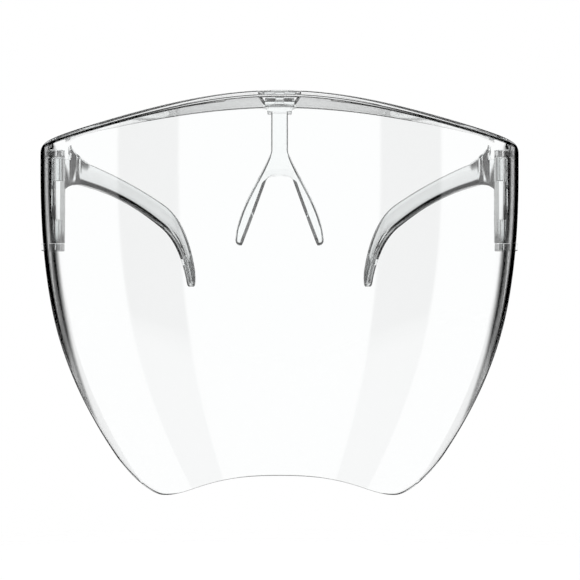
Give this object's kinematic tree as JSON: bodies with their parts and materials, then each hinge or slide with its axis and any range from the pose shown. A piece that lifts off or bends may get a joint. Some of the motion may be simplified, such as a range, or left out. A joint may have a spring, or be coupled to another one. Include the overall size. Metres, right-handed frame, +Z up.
{
  "type": "face shield",
  "caption": "Clear wrap-round full-face shield worn like spectacles, with a brow ledge, a clip-in nose bracket and folding temple arms.",
  "frame": {"origin": "on the wearer's nose, midway between the front lower parts of the bracket's two pads", "axes": "+Z up as worn, -Y the way the wearer looks, +X towards the wearer's left"},
  "size_m": [0.1994, 0.1915, 0.1539],
  "materials": {
    "visor": "clear polished polycarbonate",
    "bracket": "clear polished polycarbonate",
    "temples": "clear polished polycarbonate",
    "pins": "clear moulded nylon",
    "sleeves": "clear soft elastomer"
  },
  "bodies": {
    "visor": {"visor_shell": "visor", "nose_bracket": "bracket", "hinge_pin_upper_left": "pins", "hinge_pin_lower_left": "pins", "hinge_pin_upper_right": "pins", "hinge_pin_lower_right": "pins"},
    "left_arm": {"temple_left": "temples", "tip_sleeve_left": "sleeves"},
    "right_arm": {"temple_right": "temples", "tip_sleeve_right": "sleeves"}
  },
  "joints": [
    {"name": "left_temple_fold", "type": "hinge", "parent": "visor", "child": "left_arm", "pos_m": [0.0922, 0.0275, 0.01065], "axis": [0, 0, 1], "range_deg": [0, 80]},
    {"name": "right_temple_fold", "type": "hinge", "parent": "visor", "child": "right_arm", "pos_m": [-0.0922, 0.0275, 0.01065], "axis": [0, 0, -1], "range_deg": [0, 72]}
  ]
}
